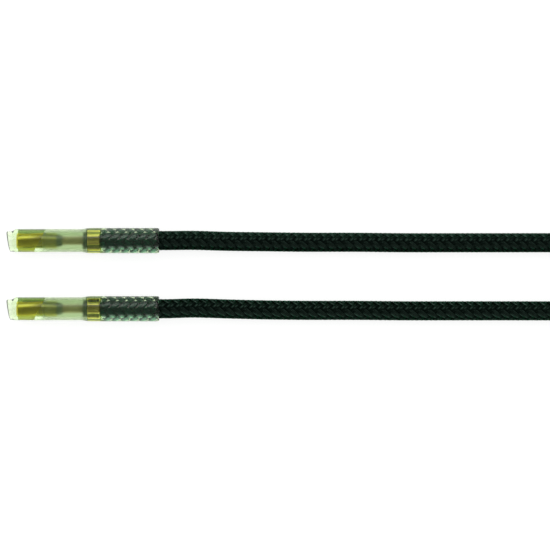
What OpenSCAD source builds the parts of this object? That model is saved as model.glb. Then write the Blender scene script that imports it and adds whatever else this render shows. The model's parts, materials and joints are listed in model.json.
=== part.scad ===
// Twin cable release: one plunger handle drives the needles of two braided cables.
// Millimetres. +X runs from the tips to the button, +Z is up, and the release lies on z = 0.

/* [Cords] */
// Outside diameter of the braided cord
cord_d = 4; // [3.6:0.1:4.4]
// Diameter to which the braid is gathered at the tip
braid_end_d = 3.4; // [3:0.1:3.6]
// Distance between the centres of the two tips
tip_spacing = 14.5; // [12:0.1:18]

/* [Tip sleeve] */
// Length of the clear sleeve
sleeve_len = 32.5; // [28:0.1:36]
// Wall of the sleeve over the nipple
sleeve_front_wall = 0.5; // [0.4:0.05:0.6]
// Wall of the sleeve over the cord
sleeve_rear_wall = 0.6; // [0.5:0.05:0.8]
// Slant of the sleeve's open end, in degrees
sleeve_slant = 10; // [0:1:20]
// How far the sleeve's free mouth is drawn in, in front of the nipple
mouth_draw = 0.3; // [0:0.05:0.3]
// Free gap round what the sleeve slides over
sleeve_gap = 0.1; // [0.05:0.01:0.15]

/* [Tip fitting] */
// How far the nipple stands back inside the sleeve
nipple_setback = 2.2; // [1.5:0.1:3]
// Diameter of the nipple's barrel
nipple_d = 3.7; // [3.4:0.1:3.9]
// Length of the nipple with its neck
nipple_len = 8.5; // [7.5:0.1:9.5]
// Length of the nipple's barrel on its long side
nipple_barrel_len = 6.1; // [5.5:0.1:6.5]
// Slant of the shoulder behind the nipple's barrel, in degrees
shoulder_slant = 32; // [0:1:34]
// Diameter of the nipple's neck
nipple_neck_d = 3.3; // [2.9:0.1:3.3]
// Diameter of the socket, as drilled for its thread
socket_d = 2.5; // [2.2:0.1:2.8]
// Depth of the socket
socket_depth = 4; // [3:0.1:4.2]
// Thickness of the web at the bottom of the socket
web_t = 0.6; // [0.4:0.1:0.8]
// Diameter of the guide tube
guide_d = 1.8; // [1.6:0.05:1.85]
// How far the guide tube's flange stands out
guide_flange = 0.18; // [0.12:0.02:0.2]
// Length of guide tube between the nipple and the crimp ferrule
guide_run = 6.6; // [5:0.1:8]
// Diameter of the needle
needle_d = 1; // [0.8:0.05:1.1]
// Diameter of the collar that stands out behind the nipple
collar_d = 2.6; // [2.5:0.1:2.8]
// Length of that collar
collar_len = 1.3; // [0.8:0.1:2]
// Diameter of the crimp ferrule
crimp_d = 3.9; // [3.5:0.1:4]
// Length of the crimp ferrule
crimp_len = 2.6; // [2:0.1:4]
// Thickness of the washer in front of the crimp ferrule
washer_t = 0.8; // [0.4:0.1:1]

/* [Handle] */
// Diameter over the knurling of the barrel
barrel_d = 16; // [15.6:0.2:20]
// Bore of the barrel
barrel_bore_d = 12.4; // [12.2:0.1:13]
// Length of the barrel
barrel_len = 30; // [30:0.5:40]
// Depth of the waist between the knurled bands
waist_depth = 0.7; // [0.2:0.1:1]
// Length of the nose in front of the barrel
nose_len = 6.5; // [6:0.1:9]
// Distance between the two cable outlets
outlet_spacing = 8; // [7.6:0.1:8.4]
// Diameter of the outlet ferrules
outlet_d = 5.4; // [5.2:0.1:5.6]
// How far the outlet ferrules stand out of the nose
outlet_reach = 7; // [6:0.5:12]
// Depth to which the cord enters its outlet ferrule
cup_depth = 4.5; // [3:0.1:4.7]
// Width of the finger plate
plate_w = 30; // [26:0.5:40]
// Thickness of the finger plate
plate_t = 2.6; // [2.2:0.1:4]
// Depth of the finger dishes in the plate
plate_dish = 0.9; // [0.2:0.1:1.2]
// Diameter over the knurling of the end cap
cap_d = 13.6; // [13:0.1:15.4]
// Length of the end cap behind the plate
cap_len = 7; // [6:0.1:10]
// Length of the end cap's spigot in the barrel
cap_spigot = 5.5; // [4:0.1:7]

/* [Plunger] */
// Travel of the plunger and both needles
travel = 8; // [6:0.5:8.5]
// Diameter of the plunger stem
stem_d = 6; // [5.6:0.1:6.4]
// Diameter of the button
button_d = 12; // [10.6:0.1:15]
// Height of the button
button_h = 5.2; // [4.6:0.1:8]
// Thickness of the yoke that carries the push wires
yoke_t = 4; // [3.4:0.1:4.6]
// Diameter of the push wires
push_wire_d = 1.2; // [0.9:0.05:1.3]
// Diameter of the return spring's wire
spring_wire_d = 0.7; // [0.4:0.05:0.75]
// Mean diameter of the return spring
spring_d = 4.8; // [4.6:0.1:5]
// Working turns of the return spring
spring_turns = 6; // [4:1:7]

/* [Lock and adjuster] */
// Diameter of the lock screw's shank
lock_d = 2.5; // [2:0.1:3]
// Diameter of the lock screw's head
lock_head_d = 6.6; // [5:0.1:8]
// Height of the lock screw's head
lock_head_h = 2.8; // [2:0.1:4]
// Diameter of the lead adjuster
adjuster_d = 7.2; // [6.8:0.1:7.8]
// Length of the lead adjuster
adjuster_len = 2; // [1.5:0.1:2.4]
// Knurl ridges round the barrel
barrel_ridges = 56; // [40:1:64]

/* [Hidden] */
$fn = 48;

// Clearances between pieces that turn or slide on each other
run_gap = 0.05;
yoke_gap = 0.1;
wire_gap = 0.1;
end_gap = 0.1;
button_stop_gap = 0.2;

// Sides: A lies at +Y and B at -Y
SIDE_A = 1;
SIDE_B = -1;

// Radii
cord_r = cord_d / 2;
nipple_r = nipple_d / 2;
neck_r = nipple_neck_d / 2;
guide_r = guide_d / 2;
flange_r = guide_r + guide_flange;
swivel_r = flange_r + run_gap;
needle_r = needle_d / 2;
needle_bore_r = needle_r + run_gap;
crimp_r = crimp_d / 2;
barrel_r = barrel_d / 2;
bore_r = barrel_bore_d / 2;
outlet_r = outlet_d / 2;
stem_r = stem_d / 2;
push_wire_r = push_wire_d / 2;

// Stations along a tip, measured back from the sleeve's mouth
t_nipple = nipple_setback;
t_web = t_nipple + socket_depth;
t_swivel = t_web + web_t;
t_nipple_end = t_nipple + nipple_len;
t_crimp = t_nipple_end + guide_run;
t_cord = t_crimp + crimp_len;
flange_t = 0.6;
sleeve_front_r = nipple_r + sleeve_gap;
sleeve_rear_r = max(cord_r, crimp_r) + sleeve_gap;
sleeve_front_out = sleeve_front_r + sleeve_front_wall;
sleeve_rear_out = sleeve_rear_r + sleeve_rear_wall;
sleeve_mouth_out = sleeve_front_out - mouth_draw;
mouth_len = 1.2;
t_step = t_crimp - washer_t - 0.3;
step_len = 1.2;
tip_z = sleeve_rear_out;

// Stations along the handle, measured back from the nose's front face
spigot_len = 4.5;
ferrule_seat = nose_len - 0.5;
h_spigot_end = nose_len + spigot_len;
h_plate = nose_len + barrel_len;
h_cap = h_plate + plate_t;
h_cap_end = h_cap + cap_len;
h_inner_cap = h_plate - cap_spigot;
buffer_t = 1;
h_yoke_end = h_inner_cap - buffer_t;
h_yoke = h_yoke_end - yoke_t;
spring_washer_t = 0.6;
h_spring_end = h_yoke - spring_washer_t;
h_button = h_cap_end + travel + button_stop_gap;
h_end = h_button + button_h;
h_lock = h_cap + cap_len / 2;
handle_z = barrel_r;
stud_r = spring_d / 2 - spring_wire_d / 2 - 0.3;
stud_len = 3;

// The cords run from the tips to the outlets
cord_reach = 200;
overall = t_cord + cord_reach + outlet_reach + h_end;
x_mouth = -overall / 2;
x_cord = x_mouth + t_cord;
x_nose = x_cord + cord_reach + outlet_reach;

// Cord routes between their straight ends: distance from the tip's crimp, sideways place, and
// height of the cord's underside above the surface it lies on
ROUTE_A = [
    [20, 7.3, 0.5], [27, 7.1, 0.2], [35, 7, 0.1], [44, 6.9, 0], [54, 6.9, 0],
    [65, 6.8, 0], [76, 6.8, 0], [87, 6.8, 0], [98, 6.8, 0], [109, 6.7, 0],
    [120, 6.4, 0], [131, 6, 0.1], [141, 5.5, 0.5], [151, 5, 1.3],
    [161, 4.6, 2.5], [171, 4.3, 3.8], [181, 4.1, 5], [190, 4, 5.8]
];
ROUTE_B = [
    [20, -7.1, 0.5], [27, -7.3, 0.2], [35, -7.5, 0.1], [44, -7.6, 0], [54, -7.6, 0],
    [65, -7.7, 0], [76, -7.7, 0], [87, -7.7, 0], [98, -7.7, 0], [109, -7.6, 0],
    [120, -7.2, 0], [131, -6.7, 0.1], [141, -6.1, 0.5], [151, -5.5, 1.3],
    [161, -4.9, 2.5], [171, -4.5, 3.8], [181, -4.2, 5], [190, -4, 5.8]
];
tip_straight = sleeve_len - t_cord + 1.5;
braid_taper = 1.5;
outlet_straight = 4;
cord_sides = 12;

// ---- Shapes ----

// Revolves a profile of [radius, station] points about the X axis
module turned(profile) {
    rotate([0, 90, 0]) rotate_extrude() polygon(profile);
}

// A rod along X
module rod(x, length, r) {
    translate([x, 0, 0]) rotate([0, 90, 0]) cylinder(h = length, r = r);
}

// A tube along X
module tube(x, length, r_out, r_in) {
    difference() {
        rod(x, length, r_out);
        rod(x - 1, length + 2, r_in);
    }
}

// A ring along X with straight knurling
module knurled(x, length, r, ridges, depth) {
    translate([x, 0, 0]) rotate([0, 90, 0]) linear_extrude(length) knurl_outline(r, ridges, depth);
}

// Outline of a knurled ring: ridges of one height with valleys between them
module knurl_outline(r, ridges, depth) {
    polygon([
        for (i = [0:2 * ridges - 1])
            let (a = i * 180 / ridges, at = i % 2 == 0 ? r : r - depth)
                [at * cos(a), at * sin(a)]
    ]);
}

// Points of a quarter-round corner from one angle to another
function corner(r_at, x_at, size, from, to, steps = 6) = [
    for (i = [0:steps])
        let (a = from + (to - from) * i / steps)
            [r_at + size * cos(a), x_at + size * sin(a)]
];

// Unit vector
function unit(v) = v / norm(v);

// Direction of a path at one of its points
function heading(path, i) =
    unit(path[min(i + 1, len(path) - 1)] - path[max(i - 1, 0)]);

// The ring of points round a path at one of its points
function ring(path, i, r, sides) =
    let (
        ahead = heading(path, i),
        across = unit(cross([0, 0, 1], ahead)),
        up = cross(ahead, across)
    )
        [for (k = [0:sides - 1]) let (a = 360 * k / sides) path[i] + r * (sin(a) * across - cos(a) * up)];

// A closed tube swept along a path, with a radius for each point
module swept(path, radii, sides) {
    count = len(path);
    points = [for (i = [0:count - 1]) each ring(path, i, radii[i], sides)];
    walls = [
        for (i = [0:count - 2], k = [0:sides - 1])
            let (a = i * sides + k, b = i * sides + (k + 1) % sides)
                each [[a, b, b + sides], [a, b + sides, a + sides]]
    ];
    front = [for (k = [1:sides - 2]) [0, k + 1, k]];
    last = (count - 1) * sides;
    back = [for (k = [1:sides - 2]) [last, last + k, last + k + 1]];
    polyhedron(points = points, faces = concat(walls, front, back), convexity = 8);
}

// Places a tip piece on its axis, with its stations measured from the sleeve's mouth
module at_tip(side) {
    translate([x_mouth, side * tip_spacing / 2, tip_z]) children();
}

// Places a handle piece on the handle's axis, with its stations measured from the nose
module at_handle() {
    translate([x_nose, 0, handle_z]) children();
}

// Places a piece on the axis of one of the handle's two cables
module at_outlet(side) {
    at_handle() translate([0, side * outlet_spacing / 2, 0]) children();
}

// ---- Tips ----

// Clear sleeve: stepped tube with a slanted mouth, rounded at its shoulder
module tip_sleeve(side) {
    color([0.78, 0.88, 0.7, 0.4]) at_tip(side) difference() {
        turned([
            [sleeve_front_r, 0],
            [sleeve_mouth_out, 0],
            [sleeve_mouth_out, mouth_len],
            [sleeve_front_out, mouth_len + 0.2 + mouth_draw],
            [sleeve_front_out, t_step],
            [sleeve_rear_out, t_step + step_len],
            [sleeve_rear_out, sleeve_len - 0.15],
            [sleeve_rear_out - 0.15, sleeve_len],
            [sleeve_rear_r, sleeve_len],
            [sleeve_rear_r, t_step],
            [sleeve_front_r, t_step - 0.2]
        ]);
        translate([0, sleeve_mouth_out, 0]) rotate([0, 0, sleeve_slant])
            translate([-6, -12, -6]) cube([6, 14, 12]);
    }
}

// Brass nipple: threaded socket in front, slanted shoulder, neck with the swivel's seat
module nipple(side) {
    color([0.78, 0.62, 0.22]) at_tip(side) difference() {
        union() {
            difference() {
                turned([
                    [0, t_nipple],
                    [nipple_r - 0.35, t_nipple],
                    [nipple_r, t_nipple + 0.35],
                    [nipple_r, t_nipple_end],
                    [0, t_nipple_end]
                ]);
                translate([t_nipple + nipple_barrel_len, nipple_r, 0]) rotate([0, 0, -shoulder_slant])
                    translate([0, -12, -6]) cube([12, 18, 12]);
            }
            rod(t_web - 0.5, t_nipple_end - t_web + 0.5, neck_r);
        }
        rod(t_nipple - 1, socket_depth + 1, socket_d / 2);
        rod(t_web - 0.5, web_t + 1, needle_bore_r);
        rod(t_swivel, t_nipple_end - t_swivel + 1, swivel_r);
    }
}

// Collar pressed into the nipple's neck: it holds the guide tube's flange and lets it turn
module swivel_collar(side) {
    inner = guide_r + run_gap;
    color([0.16, 0.2, 0.16]) at_tip(side) turned([
        [inner, t_swivel + flange_t + 2 * end_gap],
        [swivel_r, t_swivel + flange_t + 2 * end_gap],
        [swivel_r, t_nipple_end],
        [collar_d / 2, t_nipple_end],
        [collar_d / 2, t_nipple_end + collar_len * 0.4],
        [inner + 0.12, t_nipple_end + collar_len],
        [inner, t_nipple_end + collar_len]
    ]);
}

// Bronze guide tube, flanged in the swivel and soldered into the crimp ferrule
module guide_tube(side) {
    color([0.72, 0.5, 0.34]) at_tip(side) turned([
        [needle_bore_r, t_swivel + end_gap],
        [flange_r, t_swivel + end_gap],
        [flange_r, t_swivel + end_gap + flange_t],
        [guide_r, t_swivel + end_gap + flange_t],
        [guide_r, t_cord],
        [needle_bore_r, t_cord]
    ]);
}

// Steel needle, ready at the bottom of the socket
module needle(side) {
    color([0.75, 0.76, 0.78]) at_tip(side) turned([
        [0, t_web + end_gap],
        [needle_r - 0.2, t_web + end_gap],
        [needle_r, t_web + end_gap + 0.2],
        [needle_r, t_cord - end_gap],
        [0, t_cord - end_gap]
    ]);
}

// Dark fibre washer in front of the crimp ferrule
module fibre_washer(side) {
    color([0.12, 0.16, 0.12]) at_tip(side)
        tube(t_crimp - washer_t, washer_t, crimp_r - 0.15, guide_r);
}

// Brass crimp ferrule with two lips and a slight waist
module crimp_ferrule(side) {
    lip = 0.4;
    waist = 0.08;
    color([0.82, 0.66, 0.2]) at_tip(side) turned([
        [guide_r, t_crimp],
        [crimp_r - 0.1, t_crimp],
        [crimp_r, t_crimp + 0.1],
        [crimp_r, t_crimp + lip],
        [crimp_r - waist, t_crimp + 2 * lip],
        [crimp_r - waist, t_cord - 2 * lip],
        [crimp_r, t_cord - lip],
        [crimp_r, t_cord - 0.1],
        [crimp_r - 0.1, t_cord],
        [guide_r, t_cord]
    ]);
}

// ---- Cords ----

// Centre line of a cord, from its crimp ferrule into its outlet ferrule
function cord_path(side, route) =
    let (
        tip = [x_cord, side * tip_spacing / 2, tip_z],
        outlet = [x_nose - outlet_reach, side * outlet_spacing / 2, handle_z]
    )
        concat(
            [tip, tip + [braid_taper, 0, 0], tip + [tip_straight / 2, 0, 0], tip + [tip_straight, 0, 0]],
            [for (p = route) [x_cord + p[0], p[1], cord_r + p[2]]],
            [outlet - [outlet_straight, 0, 0], outlet, outlet + [cup_depth, 0, 0]]
        );

// Braided cord; the braid is gathered where it meets the crimp ferrule
module cord(side, route) {
    path = cord_path(side, route);
    color([0.05, 0.08, 0.06])
        swept(path, [for (i = [0:len(path) - 1]) i == 0 ? braid_end_d / 2 : cord_r], cord_sides);
}

// ---- Handle ----

// Brass outlet ferrule: a cup for the cord's end, bored for the push wire
module outlet_ferrule(side) {
    mouth = -outlet_reach;
    cup_r = cord_r + run_gap;
    color([0.8, 0.65, 0.25]) at_outlet(side) difference() {
        turned(concat(
            [[0, mouth], [outlet_r - 0.5, mouth]],
            corner(outlet_r - 0.5, mouth + 0.5, 0.5, -90, 0),
            [[outlet_r, ferrule_seat], [0, ferrule_seat]]
        ));
        rod(mouth - 1, cup_depth + 1, cup_r);
        rod(mouth, outlet_reach + ferrule_seat + 1, push_wire_r + wire_gap);
        if (side == SIDE_B) marker_groove();
    }
}

// Groove that holds the marker ring on outlet B
marker_w = 1.2;
marker_depth = 0.25;
marker_x = -outlet_reach + 1.4;
module marker_groove() {
    tube(marker_x, marker_w, outlet_r + 1, outlet_r - marker_depth);
}

// Enamelled ring that tells cable B from cable A
module marker_ring() {
    color([0.7, 0.08, 0.06]) at_outlet(SIDE_B)
        tube(marker_x, marker_w, outlet_r + 0.1, outlet_r - marker_depth);
}

// Knurled nut on outlet B that sets the lead between the two needles
module lead_adjuster() {
    color([0.8, 0.65, 0.25]) at_outlet(SIDE_B) difference() {
        knurled(-end_gap - adjuster_len, adjuster_len, adjuster_d / 2, 28, 0.2);
        rod(-end_gap - adjuster_len - 1, adjuster_len + 2, outlet_r + run_gap);
    }
}

// Nose block: two seats for the outlet ferrules, two wire guides and the spring's stud
module nose_block() {
    front_r = outlet_spacing / 2 + outlet_r + 0.3;
    round_r = max(0.1, barrel_r - front_r - 0.1);
    color([0.78, 0.78, 0.8]) at_handle() difference() {
        turned(concat(
            [[0, 0], [barrel_r - round_r, 0]],
            corner(barrel_r - round_r, round_r, round_r, -90, 0),
            [
                [barrel_r, nose_len], [bore_r, nose_len],
                [bore_r, h_spigot_end], [stud_r, h_spigot_end],
                [stud_r, h_spigot_end + stud_len], [0, h_spigot_end + stud_len]
            ]
        ));
        for (side = [SIDE_A, SIDE_B]) translate([0, side * outlet_spacing / 2, 0]) {
            rod(-1, ferrule_seat + 1, outlet_r);
            rod(0, h_spigot_end + 1, push_wire_r + wire_gap);
        }
        grub_bores();
    }
}

// The two cross bores for the nose's grub screws
grub_r = 0.9;
grub_x = nose_len - 2.2;
module grub_bores() {
    for (side = [SIDE_A, SIDE_B]) translate([grub_x, 0, 0]) rotate([-90 * side, 0, 0])
        translate([0, 0, outlet_spacing / 2 + outlet_r - 0.5]) cylinder(h = barrel_r, r = grub_r);
}

// Two grub screws that clamp the outlet ferrules in the nose
module nose_grub_screws() {
    foot = outlet_spacing / 2 + outlet_r;
    color([0.2, 0.2, 0.21]) at_handle() for (side = [SIDE_A, SIDE_B])
        translate([grub_x, 0, 0]) rotate([-90 * side, 0, 0]) translate([0, 0, foot]) difference() {
            cylinder(h = barrel_r - foot - 0.2, r = grub_r);
            translate([-0.15, -grub_r, barrel_r - foot - 0.6]) cube([0.3, 2 * grub_r, 1]);
        }
}

// Barrel: two knurled bands with a turned waist between them
module barrel() {
    end = 1.2;
    band = barrel_len * 0.27;
    body_r = barrel_r - 0.3;
    waist_r = barrel_r - waist_depth;
    color([0.78, 0.78, 0.8]) at_handle() translate([nose_len, 0, 0]) difference() {
        union() {
            turned([
                [0, 0], [body_r, 0], [body_r, end + band], [waist_r, end + band + 1.5],
                [waist_r, barrel_len - end - band - 1.5], [body_r, barrel_len - end - band],
                [body_r, barrel_len], [0, barrel_len]
            ]);
            knurled(end, band, barrel_r, barrel_ridges, 0.35);
            knurled(barrel_len - end - band, band, barrel_r, barrel_ridges, 0.35);
        }
        rod(-1, barrel_len + 2, bore_r);
    }
}

// Finger plate: a rounded plate with a dish on each wing for the fingers
module finger_plate() {
    wing = plate_w / 2 - barrel_r;
    dish_r = 14;
    color([0.1, 0.1, 0.11]) at_handle() translate([h_plate, 0, 0]) difference() {
        rotate([0, 90, 0]) linear_extrude(plate_t) difference() {
            union() {
                square([2 * barrel_r, 2 * wing], center = true);
                for (side = [SIDE_A, SIDE_B]) translate([0, side * wing]) circle(r = barrel_r);
            }
            circle(r = bore_r);
        }
        for (side = [SIDE_A, SIDE_B])
            translate([plate_dish - dish_r, side * (barrel_r + wing * 0.55), -barrel_r - 1])
                cylinder(h = 2 * barrel_r + 2, r = dish_r, $fn = 96);
    }
}

// End cap: spigot in the barrel, knurled head that clamps the plate, bored for stem and screw
module end_cap() {
    head_r = cap_d / 2;
    color([0.78, 0.78, 0.8]) at_handle() difference() {
        union() {
            rod(h_inner_cap, cap_spigot + plate_t, bore_r);
            turned(concat(
                [[0, h_cap], [head_r - 0.25, h_cap], [head_r - 0.25, h_cap_end - 1]],
                corner(head_r - 1.25, h_cap_end - 1, 1, 0, 90),
                [[0, h_cap_end]]
            ));
            knurled(h_cap + 0.6, 1.4, head_r, 48, 0.3);
            knurled(h_cap_end - 2.4, 1.2, head_r, 48, 0.3);
        }
        rod(h_inner_cap - 1, h_cap_end - h_inner_cap + 2, stem_r + run_gap);
        translate([h_lock, 0, 0]) cylinder(h = head_r + 1, r = lock_d / 2 + run_gap);
    }
}

// Felt buffer that the yoke comes to rest on
module buffer_washer() {
    color([0.35, 0.3, 0.22]) at_handle()
        tube(h_inner_cap - buffer_t, buffer_t, bore_r, stem_r + 0.3);
}

// Lock screw: knurled head, and a shank that stops just short of the stem
module lock_screw() {
    seat = cap_d / 2 + 0.3;
    foot = stem_r + run_gap + 0.15;
    color([0.8, 0.65, 0.25]) at_handle() translate([h_lock, 0, 0]) {
        translate([0, 0, foot]) cylinder(h = seat - foot + 0.01, r = lock_d / 2);
        difference() {
            translate([0, 0, seat]) linear_extrude(lock_head_h)
                knurl_outline(lock_head_d / 2, 30, 0.25);
            translate([-lock_head_d, -0.35, seat + lock_head_h - 0.7]) cube([2 * lock_head_d, 0.7, 1]);
        }
    }
}

// ---- Plunger ----

// Stem: spigot through the yoke in front, and a spigot in the button behind
stem_tail_r = 2;
module plunger_stem() {
    color([0.76, 0.77, 0.79]) at_handle() turned([
        [0, h_yoke - stud_len],
        [stud_r, h_yoke - stud_len],
        [stud_r, h_yoke_end],
        [stem_r, h_yoke_end],
        [stem_r, h_button],
        [stem_tail_r, h_button],
        [stem_tail_r, h_button + button_h / 2],
        [0, h_button + button_h / 2]
    ]);
}

// Button: knurled rim and a dished face
dish_depth = 0.8;
inlay_t = 0.6;
module button() {
    r = button_d / 2;
    color([0.78, 0.78, 0.8]) at_handle() difference() {
        union() {
            turned(concat(
                [[0, h_button], [r - 1.4, h_button], [r - 0.3, h_button + 1.1]],
                corner(r - 1.1, h_end - 0.8, 0.8, 0, 90),
                [[0, h_end]]
            ));
            knurled(h_button + 1.2, button_h - 2.4, r, 44, 0.3);
        }
        rod(h_button - 1, button_h / 2 + 1, stem_tail_r);
        rod(h_end - dish_depth, dish_depth + 1, r - 1.6);
    }
}

// Black inlay in the button's dish
module button_inlay() {
    r = button_d / 2 - 1.6;
    color([0.06, 0.06, 0.07]) at_handle() turned([
        [0, h_end - dish_depth],
        [r, h_end - dish_depth],
        [r, h_end - dish_depth + inlay_t],
        [r * 0.5, h_end - dish_depth + inlay_t * 0.7],
        [0, h_end - dish_depth + inlay_t * 0.6]
    ]);
}

// Yoke: the cross disc that carries both push wires
clamp_r = 0.8;
module yoke() {
    color([0.8, 0.65, 0.25]) at_handle() difference() {
        rod(h_yoke, yoke_t, bore_r - yoke_gap);
        rod(h_yoke - 1, yoke_t + 2, stud_r);
        for (side = [SIDE_A, SIDE_B]) translate([0, side * outlet_spacing / 2, 0]) {
            rod(h_yoke - 1, yoke_t + 2, push_wire_r);
            translate([h_yoke + yoke_t / 2, 0, 0]) cylinder(h = bore_r, r = clamp_r);
        }
    }
}

// Two grub screws that clamp the push wires in the yoke
module yoke_grub_screws() {
    top = sqrt(pow(bore_r - yoke_gap, 2) - pow(outlet_spacing / 2 + clamp_r, 2)) - 0.2;
    color([0.2, 0.2, 0.21]) for (side = [SIDE_A, SIDE_B]) at_outlet(side)
        translate([h_yoke + yoke_t / 2, 0, push_wire_r]) cylinder(h = top - push_wire_r, r = clamp_r);
}

// Push wire: the end of the working wire, stiffened where the yoke drives it
module push_wire(side) {
    entry = 2.5;
    color([0.75, 0.76, 0.78]) at_outlet(side)
        rod(h_spigot_end - entry, h_yoke_end - h_spigot_end + entry, push_wire_r);
}

// Washer between the spring and the yoke
module spring_washer() {
    color([0.75, 0.76, 0.78]) at_handle()
        tube(h_spring_end, spring_washer_t, spring_d / 2 + spring_wire_d / 2 + 0.1, stud_r);
}

// Return spring: one unbroken helix between the nose block and the spring washer
turn_rings = 10;
wire_sides = 6;
spring_len = h_spring_end - h_spigot_end - spring_wire_d;
spring_path = [
    for (i = [0:spring_turns * turn_rings])
        let (a = 360 * i / turn_rings, share = i / (spring_turns * turn_rings))
            [
                x_nose + h_spigot_end + spring_wire_d / 2 + share * spring_len,
                spring_d / 2 * cos(a),
                handle_z + spring_d / 2 * sin(a)
            ]
];
function coil_ring(i) =
    let (
        ahead = heading(spring_path, i),
        out = unit([0, spring_path[i][1], spring_path[i][2] - handle_z]),
        over = cross(ahead, out)
    )
        [
            for (k = [0:wire_sides - 1]) let (a = 360 * k / wire_sides)
                spring_path[i] + spring_wire_d / 2 * (cos(a) * out + sin(a) * over)
        ];
module return_spring() {
    count = len(spring_path);
    last = (count - 1) * wire_sides;
    color([0.7, 0.71, 0.73]) polyhedron(
        points = [for (i = [0:count - 1]) each coil_ring(i)],
        faces = concat(
            [
                for (i = [0:count - 2], k = [0:wire_sides - 1])
                    let (a = i * wire_sides + k, b = i * wire_sides + (k + 1) % wire_sides)
                        each [[a, b + wire_sides, b], [a, a + wire_sides, b + wire_sides]]
            ],
            [for (k = [1:wire_sides - 2]) [0, k, k + 1]],
            [for (k = [1:wire_sides - 2]) [last, last + k + 1, last + k]]
        ),
        convexity = 10
    );
}
echo(least_spring_gap = norm(spring_path[turn_rings] - spring_path[0]) - spring_wire_d);

tip_sleeve(SIDE_A);  // tip_sleeve_a
tip_sleeve(SIDE_B);  // tip_sleeve_b
nipple(SIDE_A);  // nipple_a
nipple(SIDE_B);  // nipple_b
swivel_collar(SIDE_A);  // swivel_collar_a
swivel_collar(SIDE_B);  // swivel_collar_b
guide_tube(SIDE_A);  // guide_tube_a
guide_tube(SIDE_B);  // guide_tube_b
needle(SIDE_A);  // needle_a
needle(SIDE_B);  // needle_b
fibre_washer(SIDE_A);  // fibre_washer_a
fibre_washer(SIDE_B);  // fibre_washer_b
crimp_ferrule(SIDE_A);  // crimp_ferrule_a
crimp_ferrule(SIDE_B);  // crimp_ferrule_b
cord(SIDE_A, ROUTE_A);  // cord_a
cord(SIDE_B, ROUTE_B);  // cord_b
outlet_ferrule(SIDE_A);  // outlet_ferrule_a
outlet_ferrule(SIDE_B);  // outlet_ferrule_b
lead_adjuster();
marker_ring();
nose_block();
nose_grub_screws();
barrel();
finger_plate();
end_cap();
buffer_washer();
plunger_stem();
button();
button_inlay();
yoke();
yoke_grub_screws();
push_wire(SIDE_A);  // push_wire_a
push_wire(SIDE_B);  // push_wire_b
spring_washer();
return_spring();
lock_screw();
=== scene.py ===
# %% [markdown]
# # A twin cable release
#
# One plunger drives two braided cables. Each cable ends in a brass nipple that stands in a
# clear sleeve. The mechanism is a CAD model, and it is loaded here as a fixed frame.
# This script makes what a CAD model can't show: the braid, the clear plastic and the finish
# of every metal part. All lengths are in metres, so a millimetre gets a name of its own.

# %% The frame
import json
import math

import bmesh
import bpy
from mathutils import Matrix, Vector


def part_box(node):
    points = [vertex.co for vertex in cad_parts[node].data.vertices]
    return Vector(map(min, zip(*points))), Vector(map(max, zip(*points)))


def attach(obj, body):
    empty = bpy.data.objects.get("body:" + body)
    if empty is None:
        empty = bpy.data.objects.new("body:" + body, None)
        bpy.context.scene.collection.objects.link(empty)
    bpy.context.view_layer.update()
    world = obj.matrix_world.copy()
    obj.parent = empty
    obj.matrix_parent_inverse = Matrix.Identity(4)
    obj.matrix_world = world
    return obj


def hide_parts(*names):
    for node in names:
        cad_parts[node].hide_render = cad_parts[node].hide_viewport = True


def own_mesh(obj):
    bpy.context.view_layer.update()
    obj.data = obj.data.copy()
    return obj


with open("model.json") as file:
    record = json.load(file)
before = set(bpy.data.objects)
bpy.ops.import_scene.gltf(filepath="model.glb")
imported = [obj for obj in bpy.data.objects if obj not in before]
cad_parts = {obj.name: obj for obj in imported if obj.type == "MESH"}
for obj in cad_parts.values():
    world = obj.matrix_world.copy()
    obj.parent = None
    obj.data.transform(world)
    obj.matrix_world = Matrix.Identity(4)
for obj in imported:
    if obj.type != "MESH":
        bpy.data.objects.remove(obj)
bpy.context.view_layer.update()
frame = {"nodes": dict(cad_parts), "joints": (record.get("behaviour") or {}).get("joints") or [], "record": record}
MM = 0.001
SIDES = {"a": 1, "b": -1}

# %% [markdown]
# ## Where things are
#
# The CAD solids say where each piece lies. The few places that the rest of the script needs
# are read from their boxes, and none is typed in twice.

# %% Places read from the frame
def lowest(node):
    """The corner of a node's box with the least x, y and z."""
    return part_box(node)[0]


def highest(node):
    """The opposite corner of a node's box."""
    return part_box(node)[1]


def middle(node):
    """The centre of a node's box."""
    return (lowest(node) + highest(node)) / 2


MOUTH_X = lowest("tip_sleeve_a").x
SLEEVE_END_X = highest("tip_sleeve_a").x
CORD_X = lowest("cord_a").x
TIP_Y = middle("crimp_ferrule_a").y
TIP_Z = middle("crimp_ferrule_a").z
OUTLET_X = lowest("outlet_ferrule_a").x
OUTLET_Y = middle("outlet_ferrule_a").y
HANDLE_Z = middle("outlet_ferrule_a").z
CUP_DEPTH = highest("cord_a").x - OUTLET_X
print(f"tips at x {MOUTH_X / MM:.1f} mm, cords from {CORD_X / MM:.1f} to {OUTLET_X / MM:.1f} mm")

# %% [markdown]
# ## The camera
#
# The release lies flat, and it is seen from straight above. A long lens far away keeps both
# cables parallel in the picture. The picture is 117 mm wide and starts just left of the tips,
# so the handle lies outside it.

# %% Camera
def add_object(name, data):
    """A new object in the scene."""
    made = bpy.data.objects.new(name, data)
    bpy.context.scene.collection.objects.link(made)
    return made


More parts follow.
